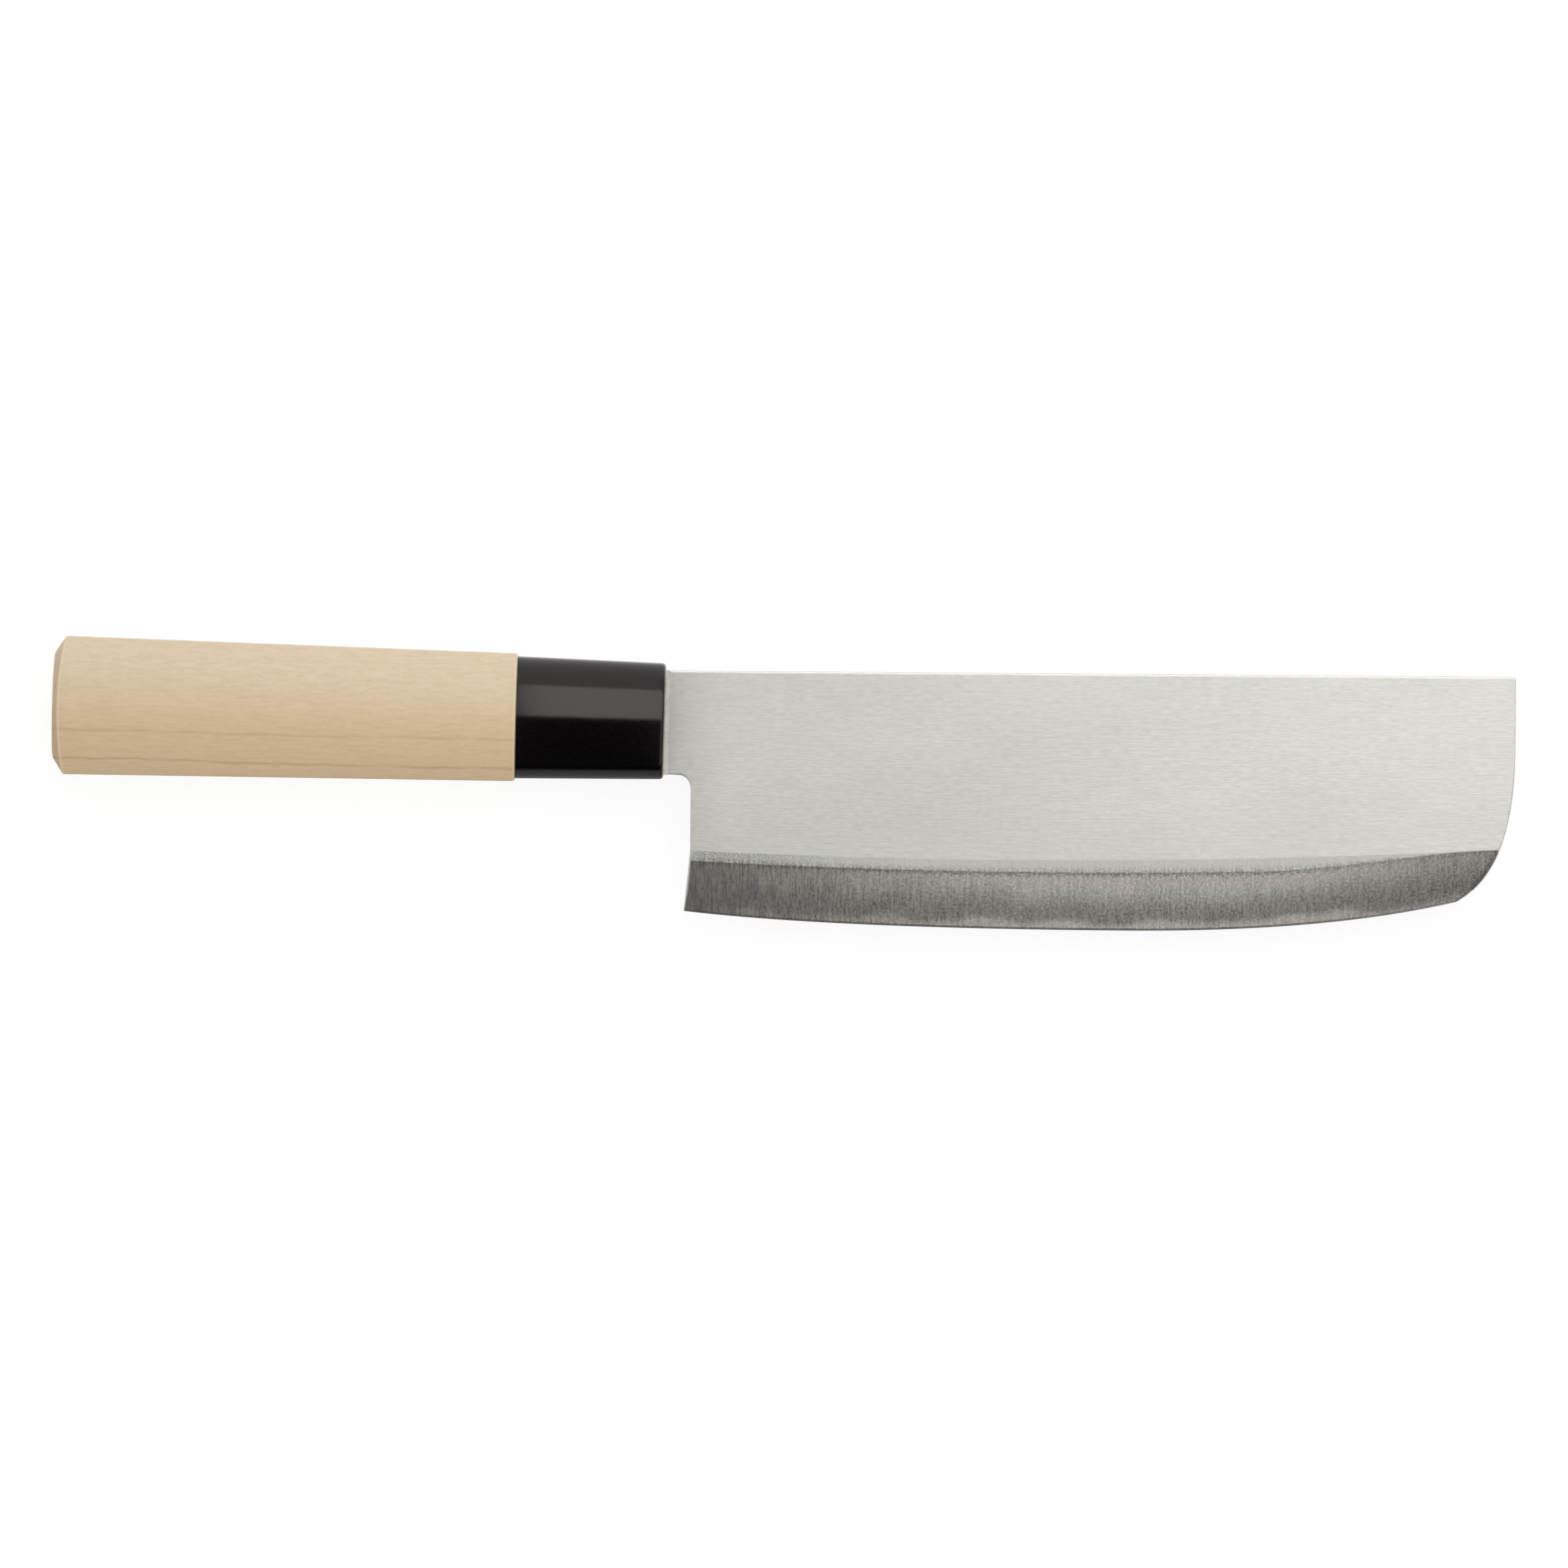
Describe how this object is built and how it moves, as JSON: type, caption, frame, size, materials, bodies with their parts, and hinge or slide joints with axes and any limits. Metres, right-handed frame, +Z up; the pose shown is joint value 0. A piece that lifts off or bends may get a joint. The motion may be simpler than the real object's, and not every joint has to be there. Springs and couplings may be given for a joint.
{
  "type": "usuba knife",
  "caption": "Kitchen knife for vegetables: broad single-bevel blade, tang bedded in an oval wooden handle, gloss black ferrule.",
  "frame": {"origin": "under the middle of the knife as it lies on its side, level with the lowest side of the handle", "axes": "+X along the handle from butt to tip, +Y from the cutting edge to the spine, +Z up out of the bevelled face"},
  "size_m": [0.2838, 0.052, 0.021],
  "materials": {
    "steel": "fine lengthwise brushing on the flat face, crosswise grinding on the bevel",
    "ferrule_plastic": "moulded, high gloss",
    "handle_wood": "sanded, unvarnished, straight fine grain",
    "bedding_resin": "cured resin",
    "seal_resin": "cured resin"
  },
  "bodies": {
    "root": {"blade": "steel", "ferrule": "ferrule_plastic", "handle_body": "handle_wood", "tang_bedding": "bedding_resin", "mouth_seal": "seal_resin"}
  },
  "joints": []
}
